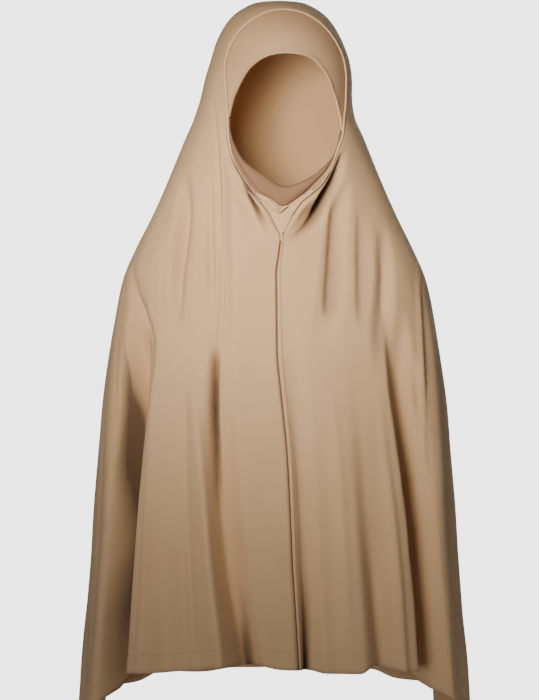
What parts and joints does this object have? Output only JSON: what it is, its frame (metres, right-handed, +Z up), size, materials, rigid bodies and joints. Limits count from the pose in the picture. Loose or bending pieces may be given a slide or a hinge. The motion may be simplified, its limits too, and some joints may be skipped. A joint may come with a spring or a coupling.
{
  "type": "khimar veil",
  "caption": "Long beige jersey khimar veil in its worn form: hood with face opening, brow and chin bands, rolled edge, throat gusset and a folded cape to the hips.",
  "frame": {"origin": "inside of the crown, where the wearer's head carries the hood", "axes": "+Z up, the face looks along -Y, +X at the right of someone who faces the wearer"},
  "size_m": [0.49, 0.3022, 0.9049],
  "materials": {
    "jersey": "soft matte",
    "band": "soft matte",
    "piping": "soft matte"
  },
  "bodies": {
    "root": {"veil": "jersey", "edge_piping": "piping", "forehead_band": "band", "chin_band": "band", "throat_tuck": "jersey", "neck_insert": "jersey"}
  },
  "joints": []
}
